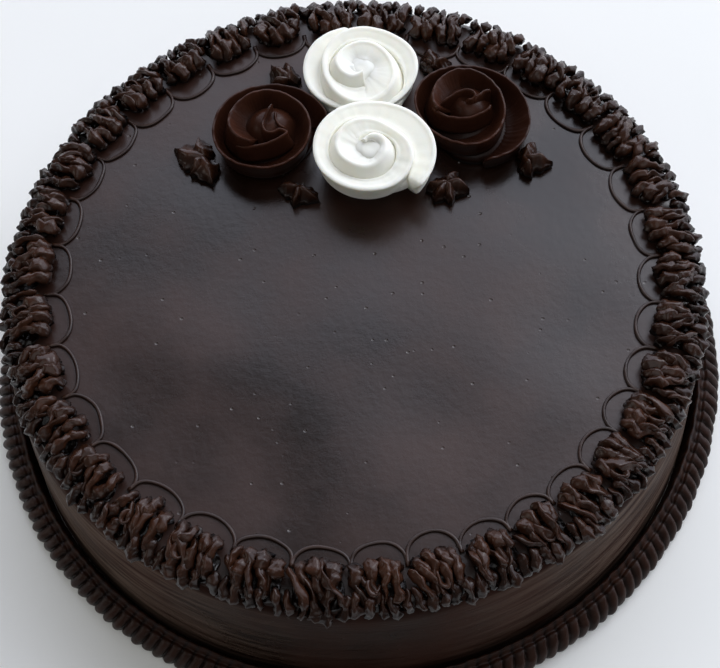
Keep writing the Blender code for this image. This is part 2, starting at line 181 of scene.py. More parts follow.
world = bpy.data.worlds.new("room")
world.use_nodes = True
tree = world.node_tree
facing = add_node(tree, "VectorMath", operation="DOT_PRODUCT")
plug(tree, facing.inputs[0], add_node(tree, "TexCoord").outputs["Generated"])
plug(tree, facing.inputs[1], ROOM_BRIGHT_SIDE)
rise = add_node(tree, "MapRange", interpolation_type="SMOOTHSTEP", Value=facing.outputs["Value"])
rise.inputs["From Min"].default_value, rise.inputs["From Max"].default_value = ROOM_GRADE
dim = (*[part * ROOM_STRENGTH[0] for part in ROOM_DIM], 1.0)
bright = (*[part * ROOM_STRENGTH[1] for part in ROOM_BRIGHT], 1.0)
plug(tree, tree.nodes["Background"].inputs["Color"], blend(tree, rise.outputs["Result"], dim, bright))
bpy.context.scene.world = world
area_light("window_panel", (0.72, 0.80, 1.00), (0.0, 0.0, 0.05), 0.5, 4.5, (0.94, 0.97, 1.0))
area_light("front_fill", (0.10, -0.60, 1.50), (0.0, 0.0, 0.05), 1.3, 5.0, (0.96, 0.98, 1.0))
area_light("left_fill", (-1.30, 0.00, 0.60), (0.0, 0.0, 0.03), 0.6, 1.6, (1.0, 0.95, 0.88))

# The glazed cake: sponge under one poured coat of chocolate, turned smooth on a stand. Its wall
# keeps the level streaks of the spatula, its top is flat with faint swells and a few small pits.
CAKE_HEIGHT = 60.6 * MM
FOOT_RADIUS = 126.3 * MM
WALL_TOP_RADIUS = 121.5 * MM
SHOULDER = 8.0 * MM
TOP_SWELL = 0.20 * MM
SWELL_SIZE = 46 * MM
SWELL_FADE = 16 * MM
STREAK_DEPTH = 0.14 * MM
STREAK_SIZE = 22 * MM
STREAK_STRETCH = (0.25, 5.0)
WALL_GLOSS = 0.03
WALL_ROUGHNESS = 0.7
GLAZE_DARK = (0.0095, 0.0036, 0.0018, 1.0)
GLAZE_LIGHT = (0.0340, 0.0138, 0.0092, 1.0)
GLAZE_DUST = (0.0380, 0.0270, 0.0220, 1.0)
# The next brown: the spatula streaks' lighter tone, also painted light on the wall's left and right sides
GLAZE_SCRAPED_AND_SIDE_LIGHT = (0.1350, 0.0950, 0.0720, 1.0)
GLAZE_GLOSS = 0.5
NOISE_MIDDLE = (0.36, 0.64)
CLOUD_ROUGHNESS = (0.23, 0.37)
PIT_SIZE = (0.06, 0.15)
PITS_KEPT = (0.66, 0.74)
STREAK_SQUEEZE = (8.0, 8.0, 90.0)
STREAKS_END_HEIGHT = (54.5 * MM, 59.5 * MM)
SIDE_LIGHT_SPAN = (20 * MM, 85 * MM)
SIDE_LIGHT_MIDDLE = 0.05
SCRAPED_MOST = 0.8
AROUND_STEPS = 640
WALL_ROWS = 30
SHOULDER_ROWS = 13
TOP_ROWS = 36
SCRAPED_SHOULDER_ROWS = 5


def swell(x, y, z, size, seed, waves=14):
    """Smooth irregular relief between about -1 and 1: a sum of sine waves of seeded directions
    and phases whose length is near the given size."""
    draw = np.random.default_rng(seed)
    total = np.zeros(np.broadcast(x, y, z).shape)
    for _ in range(waves):
        axis = draw.normal(size=3)
        axis *= 2.0 * math.pi / (size * draw.uniform(0.7, 1.6) * np.linalg.norm(axis))
        total += np.sin(axis[0] * x + axis[1] * y + axis[2] * z + draw.uniform(0, 2 * math.pi))
    return total / math.sqrt(waves)


def swell_at(points, size, seed, waves):
    """The same relief at an array of points."""
    return swell(points[..., 0], points[..., 1], points[..., 2], size, seed, waves)


def whole_turn(count):
    """Evenly spaced angles round one whole turn."""
    return np.linspace(0.0, 2.0 * math.pi, count, endpoint=False)


def polar(out, bearing, height):
    """Points at distances out from the cake's upright axis, at bearings and heights."""
    out, bearing, height = np.broadcast_arrays(out, bearing, height)
    return np.stack([out * np.cos(bearing), out * np.sin(bearing), height], axis=-1)


def grid_faces(rows, columns, loop_rows):
    """Quads between neighbouring points of a rows by columns grid whose rows are rings, the last row
    joined to the first one where they loop."""
    i = np.arange(rows if loop_rows else rows - 1)
    i, j = np.meshgrid(i, np.arange(columns), indexing="ij")
    a = i * columns + j
    b = i * columns + (j + 1) % columns
    c = ((i + 1) % rows) * columns + (j + 1) % columns
    d = ((i + 1) % rows) * columns + j
    return np.stack([a, b, c, d], axis=-1).reshape(-1, 4)


def mesh_from_arrays(name, points, quads, triangles=None):
    """A smooth-shaded mesh object from an array of points and arrays of quads and triangles."""
    triangles = np.zeros((0, 3), int) if triangles is None else np.asarray(triangles, int)
    mesh = bpy.data.meshes.new(name)
    mesh.vertices.add(len(points))
    mesh.vertices.foreach_set("co", np.asarray(points, np.float32).ravel())
    loops = np.concatenate([np.asarray(quads, int).ravel(), triangles.ravel()])
    starts = np.concatenate([np.arange(len(quads)) * 4, len(quads) * 4 + np.arange(len(triangles)) * 3])
    mesh.loops.add(len(loops))
    mesh.loops.foreach_set("vertex_index", loops)
    mesh.polygons.add(len(starts))
    mesh.polygons.foreach_set("loop_start", starts)
    mesh.update(calc_edges=True)
    mesh.validate()
    mesh.shade_smooth()
    obj = bpy.data.objects.new(name, mesh)
    bpy.context.scene.collection.objects.link(obj)
    return obj


def fan(ring, centre, flip=False):
    """Triangles from a ring of point numbers to one centre point number."""
    following = np.roll(ring, -1)
    middle = np.full(len(ring), centre)
    pair = (following, ring) if flip else (ring, following)
    return np.stack([*pair, middle], axis=-1)


around = whole_turn(AROUND_STEPS)
wall_share = np.linspace(0.0, 1.0, WALL_ROWS)
wall_radius = FOOT_RADIUS + (WALL_TOP_RADIUS - FOOT_RADIUS) * wall_share
wall = np.stack([wall_radius, (CAKE_HEIGHT - SHOULDER) * wall_share], axis=-1)
bend = np.linspace(0.0, math.pi / 2, SHOULDER_ROWS)[1:]
curve_radius = WALL_TOP_RADIUS - SHOULDER + SHOULDER * np.cos(bend)
curve = np.stack([curve_radius, CAKE_HEIGHT - SHOULDER + SHOULDER * np.sin(bend)], axis=-1)
inward = np.linspace(WALL_TOP_RADIUS - SHOULDER, 0.0, TOP_ROWS)[1:-1]
flat = np.stack([inward, np.full_like(inward, CAKE_HEIGHT)], axis=-1)
profile = np.concatenate([wall, curve, flat])
radius = np.repeat(profile[:, :1], len(around), axis=1)
height = np.repeat(profile[:, 1:], len(around), axis=1)
x = radius * np.cos(around)
y = radius * np.sin(around)
on_top = np.clip((height - CAKE_HEIGHT + 2 * MM) / (2 * MM), 0.0, 1.0)
relief = swell(x * STREAK_STRETCH[0], y * STREAK_STRETCH[0], height * STREAK_STRETCH[1], STREAK_SIZE, 3)
radius = radius + (1.0 - on_top) * np.clip(height / (4 * MM), 0.0, 1.0) * STREAK_DEPTH * relief
inside_rim = np.clip((WALL_TOP_RADIUS - 2.0 * SHOULDER - radius) / SWELL_FADE, 0.0, 1.0)
height = height + inside_rim * TOP_SWELL * swell(x, y, 0.0, SWELL_SIZE, 5)
points = polar(radius, around, height).reshape(-1, 3)
rows = len(profile)
points = np.concatenate([points, [[0.0, 0.0, CAKE_HEIGHT], [0.0, 0.0, 0.0]]])
quads = grid_faces(rows, len(around), loop_rows=False)
last = (rows - 1) * len(around) + np.arange(len(around))
first = np.arange(len(around))
caps = np.concatenate([fan(last, len(points) - 2), fan(first, len(points) - 1, flip=True)])
glazed_cake = mesh_from_arrays("glazed_cake", points, quads, caps)

glaze_material, tree, shader = node_material("dark_glaze")
place = add_node(tree, "TexCoord").outputs["Object"]
cloud = noise(tree, place, scale=17.0, detail=6.0, roughness=0.55)
tint = blend(tree, spread(tree, cloud, *NOISE_MIDDLE), GLAZE_DARK, GLAZE_LIGHT)
specks = add_node(tree, "TexVoronoi", Vector=place, Scale=230.0)
speck = spread(tree, specks.outputs["Distance"], *PIT_SIZE, to_low=1.0, to_high=0.0)
pits = product(tree, speck, spread(tree, specks.outputs["Color"], *PITS_KEPT))
dusty = blend(tree, pits, tint, GLAZE_DUST)
squeezed = add_node(tree, "VectorMath", operation="MULTIPLY")
plug(tree, squeezed.inputs[0], place)
plug(tree, squeezed.inputs[1], STREAK_SQUEEZE)
streaks = noise(tree, squeezed.outputs["Vector"], scale=4.0, detail=5.0, roughness=0.6)
parts = add_node(tree, "SeparateXYZ", Vector=place)
on_wall = spread(tree, parts.outputs["Z"], *STREAKS_END_HEIGHT, to_low=1.0, to_high=0.0)
wall_streaks = product(tree, streaks, on_wall)
# Painted light: the scraped brown is kept to the wall's left and right sides and nearly left out at its
# front and back, so those sides are coloured lighter as though lit; the streak noise itself is the
# spatula's marks
from_middle = add_node(tree, "Math", operation="ABSOLUTE", Value=parts.outputs["X"])
side_light = spread(tree, from_middle.outputs["Value"], *SIDE_LIGHT_SPAN, to_low=SIDE_LIGHT_MIDDLE)
thin = spread(tree, wall_streaks, *NOISE_MIDDLE, to_high=SCRAPED_MOST)
scraped = blend(tree, product(tree, thin, side_light), dusty, GLAZE_SCRAPED_AND_SIDE_LIGHT)
plug(tree, shader.inputs["Base Color"], scraped)
orange_peel = noise(tree, place, scale=330.0, detail=4.0, roughness=0.65)
normal = bumped(tree, wall_streaks, 0.5, 1.2 * MM)
normal = bumped(tree, orange_peel, 0.24, 0.3 * MM, Normal=normal)
normal = bumped(tree, pits, 0.45, 0.5 * MM, Normal=normal, invert=True)
plug(tree, shader.inputs["Normal"], normal)
plug(tree, shader.inputs["Roughness"], spread(tree, cloud, *NOISE_MIDDLE, *CLOUD_ROUGHNESS))
shader.inputs["Specular IOR Level"].default_value = GLAZE_GLOSS
glazed_cake.data.materials.append(glaze_material)

# Its wall, spread thinner and scraped duller: the same glaze with hardly any mirror gloss
wall_material = glaze_material.copy()
wall_material.name = "scraped_glaze"
wall_shader = wall_material.node_tree.nodes["Principled BSDF"]
wall_shader.inputs["Specular IOR Level"].default_value = WALL_GLOSS
wall_shader.inputs["Roughness"].links[0].from_node.inputs["To Max"].default_value = WALL_ROUGHNESS
glazed_cake.data.materials.append(wall_material)
wall_faces = (WALL_ROWS + SCRAPED_SHOULDER_ROWS) * AROUND_STEPS
numbers = np.zeros(len(glazed_cake.data.polygons), np.int32)
numbers[:wall_faces] = 1
glazed_cake.data.polygons.foreach_set("material_index", numbers)
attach(glazed_cake, "root")
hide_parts("cake_body")

# The scallops: one fine thread of chocolate for each gap, piped on the glaze in an inward arc
# from one ruffle to the next, its ends hooked back under the ruffles.
PIPED_COUNT = 35
JUNCTION_SHIFT_DEG = 4.66
SLOW_DRIFT_DEG = 3.88
SLOW_DRIFT_PHASE_DEG = 233.6
QUICK_DRIFT_DEG = 1.98
QUICK_DRIFT_PHASE_DEG = 295.1
THREAD_RADIUS = 0.63 * MM
THREAD_SINK = 0.22 * MM
THREAD_FLATTEN = 0.9
JUNCTION_RADIUS = 105.0 * MM
SCALLOP_DEPTH = 6.6 * MM
THREAD_END_RADIUS = 106.6 * MM
THREAD_WANDER = 0.9 * MM
THREAD_WOBBLE = 0.22 * MM
THREAD_UNEVEN = 0.10
THREAD_END_SWELL = 0.35
THREAD_STEPS = 46
THREAD_SIDES = 10


def junction_angles():
    """Where neighbouring scallops meet: an even spacing with two slow waves of a hand that drifts."""
    even = 2.0 * math.pi * np.arange(1, PIPED_COUNT + 1) / PIPED_COUNT
    slow = SLOW_DRIFT_DEG * np.sin(even + math.radians(SLOW_DRIFT_PHASE_DEG))
    quick = QUICK_DRIFT_DEG * np.sin(2.0 * even + math.radians(QUICK_DRIFT_PHASE_DEG))
    return list(even + np.radians(JUNCTION_SHIFT_DEG + slow + quick))


def tube(path, thickness, sides, flatten):
    """Points of a tube round a level path: across each of its points a circle of the radius given
    there, its height flattened."""
    along = np.gradient(path, axis=0)
    along /= np.linalg.norm(along, axis=1, keepdims=True)
    across = np.stack([-along[:, 1], along[:, 0], np.zeros(len(path))], axis=-1)
    around_tube = whole_turn(sides)
    points = path[:, None, :] + thickness[:, None, None] * np.cos(around_tube)[:, None] * across[:, None, :]
    points[..., 2] += thickness[:, None] * np.sin(around_tube) * flatten
    return points


def join_grids(name, grids, loop_rows=False):
    """One mesh from several grids of points whose rows are rings; unless the rows loop, the first and
    the last ring are closed with fans."""
    all_points, all_quads, all_caps, offset = [], [], [], 0
    for grid in grids:
        rows, columns = grid.shape[:2]
        flat_points = grid.reshape(-1, 3)
        all_quads.append(grid_faces(rows, columns, loop_rows) + offset)
        if not loop_rows:
            ends = np.stack([grid[0].mean(0), grid[-1].mean(0)])
            count = len(flat_points)
            flat_points = np.concatenate([flat_points, ends])
            all_caps.append(fan(np.arange(columns), count, flip=True) + offset)
            all_caps.append(fan((rows - 1) * columns + np.arange(columns), count + 1) + offset)
        all_points.append(flat_points)
        offset += len(flat_points)
    caps = np.concatenate(all_caps) if all_caps else None
    return mesh_from_arrays(name, np.concatenate(all_points), np.concatenate(all_quads), caps)


junctions = junction_angles()
spans = list(zip(junctions, junctions[1:] + [junctions[0] + 2.0 * math.pi]))
thread_draw = random.Random(7)
share = np.linspace(0.0, 1.0, THREAD_STEPS)
threads = []
for index, (start, end) in enumerate(spans):
    depth = SCALLOP_DEPTH + thread_draw.uniform(-1.0, 1.0) * THREAD_WANDER
    base = JUNCTION_RADIUS + thread_draw.uniform(-1.0, 1.0) * THREAD_WANDER
    turned = np.pi * share
    hook = (THREAD_END_RADIUS - base) * np.abs(2.0 * share - 1.0) ** 14
    out = base - depth * np.sin(turned) ** 0.92 + hook
    bearing_at = 0.5 * (start + end) - 0.5 * (end - start) * np.cos(turned)
    wobble = THREAD_WOBBLE * swell(share, 0.0, 0.0, 0.45, 100 + index, 5)
    out = out + wobble * np.sin(turned)
    path = polar(out, bearing_at, CAKE_HEIGHT + THREAD_RADIUS * THREAD_FLATTEN - THREAD_SINK)
    thickness = THREAD_RADIUS * (1.0 + THREAD_UNEVEN * swell(share, 0.0, 0.0, 0.3, 300 + index, 5))
    thickness = thickness * (1.0 + THREAD_END_SWELL * np.abs(2.0 * share - 1.0) ** 10)
    threads.append(tube(path, thickness, THREAD_SIDES, THREAD_FLATTEN))
scallops = join_grids("scallop_threads", threads)

# The piped paste's two browns: painted shade for low parts and gaps, painted light for raised parts, mixed
# with a random tone
PIPING_SHADED = (0.0036, 0.0013, 0.0008, 1.0)
PIPING_LIT = (0.0470, 0.0170, 0.0082, 1.0)


def paint_shade_by_height(obj, values):
    """Stores with each point how far it stands up, 0 to 1, for painted shade: the paste is coloured darker
    where it lies low and lighter where it is raised.
    """
    layer = obj.data.attributes.new("raised", "FLOAT", "POINT")
    layer.data.foreach_set("value", np.clip(values, 0.0, 1.0).astype(np.float32))


def vertex_places(obj):
    """The mesh's points as an array."""
    places = np.zeros(len(obj.data.vertices) * 3, np.float32)
    obj.data.vertices.foreach_get("co", places)
    return places.reshape(-1, 3)


def above_cake(places):
    """How far points lie outside the cake's rounded profile."""
    out = np.hypot(places[:, 0], places[:, 1]) - (WALL_TOP_RADIUS - SHOULDER)
    rise = places[:, 2] - (CAKE_HEIGHT - SHOULDER)
    return np.hypot(np.maximum(out, 0.0), np.maximum(rise, 0.0)) - SHOULDER


def piping_material(name, dark, light, roughness, grain, seed_shift, gloss_level=0.4):
    """Piped chocolate paste: two browns mixed by a soft noise and by how far the paste is raised, the
    latter painted shade and light, with a fine grain of small lumps as bump and a gloss that varies with
    the noise."""
    material, tree, shader = node_material(name)
    shifted = add_node(tree, "Mapping", Vector=add_node(tree, "TexCoord").outputs["Object"])
    shifted.inputs["Location"].default_value = (seed_shift, 0.3 * seed_shift, 0.0)
    place = shifted.outputs["Vector"]
    cloud = noise(tree, place, scale=85.0, detail=4.0, roughness=0.6)
    patchy = spread(tree, spread(tree, cloud, 0.32, 0.68), 0.0, 1.0, to_low=0.45)
    raised = add_node(tree, "Attribute", attribute_name="raised").outputs["Fac"]
    plug(tree, shader.inputs["Base Color"], blend(tree, product(tree, patchy, raised), dark, light))
    lumps = noise(tree, place, scale=420.0, detail=3.0, roughness=0.6)
    plug(tree, shader.inputs["Normal"], bumped(tree, lumps, grain, 0.4 * MM))
    gloss = spread(tree, cloud, 0.0, 1.0, to_low=roughness - 0.05, to_high=roughness + 0.08)
    plug(tree, shader.inputs["Roughness"], gloss)
    shader.inputs["Specular IOR Level"].default_value = gloss_level
    return material


# Painted light and shade: the threads' tops are coloured lighter than their sides
paint_shade_by_height(scallops, 0.8 * ((vertex_places(scallops)[:, 2] - CAKE_HEIGHT) / (1.0 * MM)) ** 2)
scallops.data.materials.append(piping_material("thread_paste", PIPING_SHADED, PIPING_LIT, 0.36, 0.3, 0.7))
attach(scallops, "root")

# The ruffles: soft chocolate squeezed to and fro over the shoulder in one crumpled band between two
# scallops: ribbed knobs on the glaze, short slanting folds over the crest, fingers down the wall.
GAP = 0.35 * MM
CREST_RADIUS = 112.8 * MM
BACK_PULL_IN = 3.0 * MM
END_GAP = 0.6 * MM
SURFACE_START = 106.0 * MM
LOBE_STEPS = 26
BULB_PLACE = 0.74
BULB_LENGTH = 0.2
LOBE_SIDES = 16
CREST_RUN = 7.0
END_ROUNDING = 0.26
WAIST = 0.18
NOZZLE_RIB = 0.13
LUMP_SIZE = 2.6 * MM
LUMP_DEPTH = 0.16
SHOVE_SIZE = 7.0 * MM
SHOVE = 0.55 * MM
# Each kind of lobe: where they start across the ruffle, the least and most of their half width and
# half height, and their path as (sideways, run along the surface from SURFACE_START, lift above it),
# all in millimetres
KNOB_SHARES = (0.10, 0.33, 0.58, 0.82)
KNOB_SIZE = ((1.5, 2.35), (1.5, 2.0))
KNOB_PATH = ((0.0, 0.4, 1.2), (0.0, -1.2, 2.6), (0.3, -0.2, 4.9), (1.0, 2.4, 5.6), (2.0, 5.2, 4.3))
FOLD_SHARES = (0.03, 0.22, 0.41, 0.61, 0.80)
FOLD_SIZE = ((0.95, 1.65), (1.35, 2.0))
FOLD_PATH = (
    (-1.3, 1.4, 3.2), (-0.5, 3.6, 5.2), (0.9, 6.4, 5.4), (2.3, 8.8, 4.1), (3.1, 10.6, 2.9),
    (3.4, 11.8, 1.7),
)
FINGER_SHARES = (0.01, 0.24, 0.47, 0.71, 0.97)
FINGER_SIZE = ((1.15, 1.6), (1.15, 1.6))
FINGER_BULB = (0.15, 0.6)
FINGER_PATH = ((-1.0, 9.0, 2.2), (-0.5, 11.0, 3.2), (0.1, 13.2, 2.7), (0.5, 15.2, 1.8), (0.6, 16.9, 0.8))
CURL_SIZE = (0.85, 0.95)
CURL_PATH = (
    (0.0, 4.6, 3.2), (-1.5, 6.2, 4.4), (-1.5, 8.6, 4.3), (0.4, 9.6, 3.8), (1.7, 8.2, 3.6),
    (1.2, 6.2, 3.3),
)
BED_HEIGHT = 0.9 * MM
BED_LUMP = 0.6 * MM
BED_LUMP_SIZE = 3.0 * MM
BED_STEPS = 30
BED_SIDES = 28
CURL_CHANCE = 0.7
PROUD_CHANCE = 0.7


def cubic(p0, p1, p2, p3, t):
    """The cubic from p1 to p2 at t that leaves along p2 - p0 and arrives along p3 - p1."""
    return 0.5 * (
        2.0 * p1
        + (p2 - p0) * t
        + (2.0 * p0 - 5.0 * p1 + 4.0 * p2 - p3) * t**2
        + (3.0 * p1 - p0 - 3.0 * p2 + p3) * t**3
    )


def smooth_loop(control, samples):
    """A closed smooth curve through each row of control points: each stretch between two points is the
    cubic that leaves and meets them along the line joining their neighbours (Catmull and Rom's rule)."""
    count = control.shape[-2]
    position = np.linspace(0.0, count, samples, endpoint=False)
    k = position.astype(int)
    t = (position - k)[:, None]
    p0 = control[..., (k - 1) % count, :]
    p1 = control[..., k % count, :]
    p2 = control[..., (k + 1) % count, :]
    p3 = control[..., (k + 2) % count, :]
    return cubic(p0, p1, p2, p3, t)


def section_control(corners, like):
    """Control points of a section at every step, from a table of distance out and height, each either
    one number or one value a step."""
    return np.stack([np.stack(np.broadcast_arrays(out, up, like)[:2], -1) for out, up in corners], axis=1)


def smooth_path(control, samples):
    """An open smooth curve through the control points by the same cubics, its ends run on straight."""
    control = np.asarray(control, float)
    padded = np.concatenate([2 * control[:1] - control[1:2], control, 2 * control[-1:] - control[-2:-1]])
    position = np.linspace(0.0, len(control) - 1, samples)
    k = np.minimum(position.astype(int), len(control) - 2)
    t = (position - k)[:, None]
    return cubic(padded[k], padded[k + 1], padded[k + 2], padded[k + 3], t)


def pull_in(bearing):
    """How far the ruffles are drawn in at a bearing: most at the back left and the back right."""
    return 0.0 if math.sin(bearing) < 0.0 else BACK_PULL_IN * (0.5 - 0.5 * math.cos(4.0 * bearing))


def over_shoulder(run, height, bearing):
    """Points that lie a run along the cake's surface from SURFACE_START outwards, over the flat top and
    round the shoulder, and a height above it, with the surface's outward normals there."""
    flat = WALL_TOP_RADIUS - SHOULDER - SURFACE_START
    turn = np.clip((run - flat) / (SHOULDER + 1.5 * MM), 0.0, math.pi / 2)
    out = np.minimum(SURFACE_START + run, WALL_TOP_RADIUS - SHOULDER) + (SHOULDER + height) * np.sin(turn)
    rise = CAKE_HEIGHT - SHOULDER + (SHOULDER + height) * np.cos(turn)
    return polar(out, bearing, rise), polar(np.sin(turn), bearing, np.cos(turn))


def lobe(control, middle, half_width, half_height, draw, ribs=None, bulb=0.0):
    """One squeezed lobe: an oval, its half sizes in millimetres, carried along a smooth path over the
    cake's surface. Its rim has nozzle ribs and fine lumps, it swells and narrows on its way and by the
    bulb's share near its far end, and both ends are rounded off."""
    path = smooth_path(np.array(control) * MM, LOBE_STEPS)
    centre, normal = over_shoulder(path[:, 1], path[:, 2], middle + path[:, 0] / CREST_RADIUS)
    ahead = np.gradient(centre, axis=0)
    ahead /= np.linalg.norm(ahead, axis=1, keepdims=True)
    across = np.cross(normal, ahead)
    across /= np.linalg.norm(across, axis=1, keepdims=True)
    upward = np.cross(ahead, across)
    step = np.linspace(0.0, 1.0, LOBE_STEPS)
    from_end = np.clip(np.minimum(step, 1.0 - step) / END_ROUNDING, 0.0, 1.0)
    rounded = np.sqrt(1.0 - (1.0 - from_end) ** 2) * 0.96 + 0.04
    waist = 1.0 + WAIST * np.sin(2.0 * math.pi * (draw.uniform(0.6, 1.8) * step + draw.random()))
    waist = waist * (1.0 + bulb * np.exp(-(((step - BULB_PLACE) / BULB_LENGTH) ** 2)))
    turn = whole_turn(LOBE_SIDES)
    ribs = ribs or draw.choice((4, 5, 6))
    phase = draw.uniform(-0.8, 0.8) + draw.uniform(-1.5, 1.5) * step[:, None]
    star = 1.0 + NOZZLE_RIB * np.cos(ribs * (turn[None, :] - math.pi / 2) + phase)
    size = (rounded * waist)[:, None] * star
    ring = half_width * MM * (size * np.cos(turn))[..., None] * across[:, None, :]
    ring = ring + half_height * MM * (size * np.sin(turn))[..., None] * upward[:, None, :]
    points = centre[:, None, :] + ring
    rough = swell_at(points, LUMP_SIZE, draw.randrange(10**6), 12)
    points = points + LUMP_DEPTH * rough[..., None] * ring
    shove = swell_at(points, SHOVE_SIZE, 77, 16)
    return points + SHOVE * shove[..., None] * across[:, None, :]


def placed(path, sideways, stretch, slant, lift, shift=0.0):
    """A path's control points moved sideways, its run stretched about the crest and shifted outwards,
    its sideways lean and its height scaled."""
    start = CREST_RUN + shift
    moved = []
    for side, run, high in path:
        moved.append((sideways + slant * side, start + stretch * (run - CREST_RUN), lift * high))
    return moved


def ruffle_lobes(start, end, draw):
    """All lobes of one ruffle, seeded: knobs inside, slanting folds over the crest, fingers outside, and
    sometimes a small curl in the hollow at the start; the ends lie lower than the middle."""
    middle = 0.5 * (start + end)
    width = ((end - start) * CREST_RADIUS - 2.0 * END_GAP) / MM - 1.4
    drawn = pull_in(middle) / MM
    outer_stretch = 1.0 - 0.085 * drawn
    grids = []
    for share in KNOB_SHARES:
        side = width * (share - 0.5 + draw.uniform(-0.04, 0.04))
        end_low = 1.0 - 0.25 * abs(2.0 * share - 1.0) ** 3
        lean, high = draw.uniform(-1.0, 1.6), draw.uniform(0.78, 1.05) * end_low
        shift = 2.6 * (2.0 * share - 1.0) ** 2
        path = placed(KNOB_PATH, side, draw.uniform(0.84, 1.08), lean, high, shift)
        grids.append(lobe(path, middle, draw.uniform(*KNOB_SIZE[0]), draw.uniform(*KNOB_SIZE[1]), draw))
    for share in FOLD_SHARES:
        side = width * (share - 0.5 + draw.uniform(-0.05, 0.05))
        high = draw.uniform(0.62, 1.08)
        slant = draw.uniform(-0.3, 1.8) if side < 0.25 * width else draw.uniform(-0.8, 0.6)
        shift = 1.2 * (2.0 * share - 1.0) ** 4
        path = placed(FOLD_PATH, side, draw.uniform(0.86, 1.06) * outer_stretch, slant, high, shift)
        grids.append(lobe(path, middle, draw.uniform(*FOLD_SIZE[0]), draw.uniform(*FOLD_SIZE[1]), draw))
    for number, share in enumerate(FINGER_SHARES):
        side = width * (share - 0.5 + draw.uniform(-0.025, 0.025))
        stretch = outer_stretch * draw.uniform(0.84, 1.08)
        stands_out = number == 0 and draw.random() < PROUD_CHANCE
        proud = draw.uniform(1.1, 1.7) if stands_out else draw.uniform(0.75, 1.15)
        shift = -0.8 * (2.0 * share - 1.0) ** 4
        path = placed(FINGER_PATH, side, stretch, draw.uniform(-0.5, 1.5), proud, shift)
        thick, bulb = draw.uniform(*FINGER_SIZE[0]), draw.uniform(*FINGER_BULB)
        grids.append(lobe(path, middle, thick, draw.uniform(*FINGER_SIZE[1]), draw, bulb=bulb))
    if draw.random() < CURL_CHANCE:
        side = width * (draw.uniform(0.15, 0.6) - 0.5)
        path = placed(CURL_PATH, side, 1.0, draw.uniform(0.7, 1.1), draw.uniform(0.95, 1.2))
        grids.append(lobe(path, middle, *CURL_SIZE, draw, ribs=3))
    return grids


def ruffle_bed(start, end, seed):
    """The low crumbly bed under the lobes: a flat oval section across the shoulder, carried round the
    cake between the ruffle's ends and drawn in at both."""
    drawn = pull_in(0.5 * (start + end))
    share = np.linspace(0.09, 0.91, BED_STEPS)
    rounding = np.sqrt(np.clip(1.0 - np.abs(np.linspace(-1.0, 1.0, BED_STEPS)) ** 4, 0.02, 1.0))[:, None]
    control = np.array(
        [
            (108.8 * MM, CAKE_HEIGHT + GAP),
            (108.4 * MM, CAKE_HEIGHT + 0.9 * MM),
            (110.4 * MM, CAKE_HEIGHT + BED_HEIGHT),
            (113.6 * MM, CAKE_HEIGHT + BED_HEIGHT),
            (116.6 * MM - 0.4 * drawn, CAKE_HEIGHT + 0.5 * BED_HEIGHT),
            (118.6 * MM - 0.4 * drawn, CAKE_HEIGHT - 1.0 * MM),
            (118.9 * MM - 0.4 * drawn, CAKE_HEIGHT - 2.0 * MM),
            (117.6 * MM - 0.4 * drawn, CAKE_HEIGHT - 1.1 * MM),
            (115.2 * MM, CAKE_HEIGHT + 0.2 * MM),
        ]
    )
    section = smooth_loop(control[None], BED_SIDES)
    centre = np.array([114.0 * MM, CAKE_HEIGHT + 0.6 * MM])
    section = centre + (section - centre) * (0.35 + 0.65 * rounding)[..., None]
    points = polar(section[..., 0], (start + (end - start) * share)[:, None], section[..., 1])
    points[..., 2] += BED_LUMP * swell_at(points, BED_LUMP_SIZE, seed, 14)
    return points


piping_paste = piping_material("ruffle_paste", PIPING_SHADED, PIPING_LIT, 0.25, 0.45, 0.0, 0.28)
for index, (start, end) in enumerate(spans):
    number = index + 1
    lobes = ruffle_lobes(start, end, random.Random(500 + index))
    piece = join_grids(f"piped_ruffle_{number:02d}", lobes + [ruffle_bed(start, end, 900 + index)])
    # Painted shade: the paste is coloured darker low down and in the gaps between its lobes, lighter on the
    # raised parts
    paint_shade_by_height(piece, (above_cake(vertex_places(piece)) - 2.2 * MM) / (3.6 * MM))
    piece.data.materials.append(piping_paste)
    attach(piece, "root")
    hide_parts(f"ruffle_{number:02d}")

# The foot border: a tight to-and-fro line of paste pressed along the base, each stroke a rounded rib
# that leans a little to one side as it rises, with a thin smooth bead along its inner top.
RIB_COUNT = 192
BORDER_OUTER_RADIUS = 137.0 * MM
BORDER_INNER_RADIUS = 126.9 * MM
BORDER_TOE_RADIUS = 126.4 * MM
BORDER_HEIGHT = 11.6 * MM
RIB_DEPTH = 2.3 * MM
RIB_SLANT_DEG = 1.4
BORDER_FOOT_SETBACK = 2.0 * MM
BORDER_BROW_SETBACK = 3.4 * MM
BORDER_BROW_HEIGHT = 9.4 * MM
RIB_STEPS = 12
BORDER_COLUMNS = 34
BORDER_SHADED = (0.0060, 0.0022, 0.0012, 1.0)
BORDER_LIT = (0.0300, 0.0110, 0.0060, 1.0)
BORDER_GLOSS = 0.16
BORDER_LUMP = 0.16 * MM
BORDER_LUMP_SIZE = 5.0 * MM

